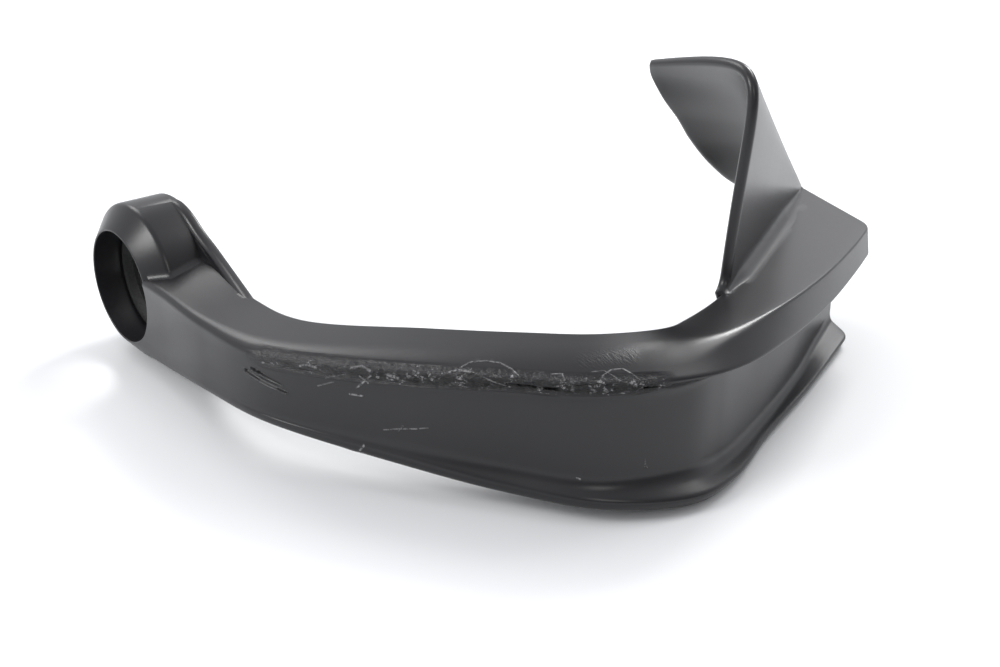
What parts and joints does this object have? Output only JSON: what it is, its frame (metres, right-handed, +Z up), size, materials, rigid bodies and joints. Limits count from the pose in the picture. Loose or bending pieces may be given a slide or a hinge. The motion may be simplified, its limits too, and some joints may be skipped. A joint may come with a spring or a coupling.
{
  "type": "motorcycle hand guard",
  "caption": "Moulded hand guard with a bar-end eye, an arm that sweeps forward and across as a channel with two flanges, and an upright wind wing over the hand.",
  "frame": {"origin": "on the bench under the middle of the guard's box, with the guard lying as it rests: on the eye's ring and the lower lip of its front", "axes": "+X inboard along the handlebar, +Y rearward to the rider, -Y forward, +Z up"},
  "size_m": [0.224, 0.2183, 0.1109],
  "materials": {
    "shell": "satin moulded black polypropylene with fine grain and light wear",
    "cover": "grained black polypropylene",
    "rubber": "matt black",
    "screw": "dark zinc plated",
    "insert": "machined"
  },
  "bodies": {
    "root": {"guard_shell": "shell", "rear_cover": "cover", "eye_liner": "rubber", "cover_screw_1": "screw", "cover_screw_2": "screw", "cover_screw_3": "screw", "cover_screw_4": "screw", "cover_screw_5": "screw", "cover_screw_6": "screw", "cover_screw_7": "screw", "mount_insert_1": "insert", "mount_insert_2": "insert"}
  },
  "joints": []
}
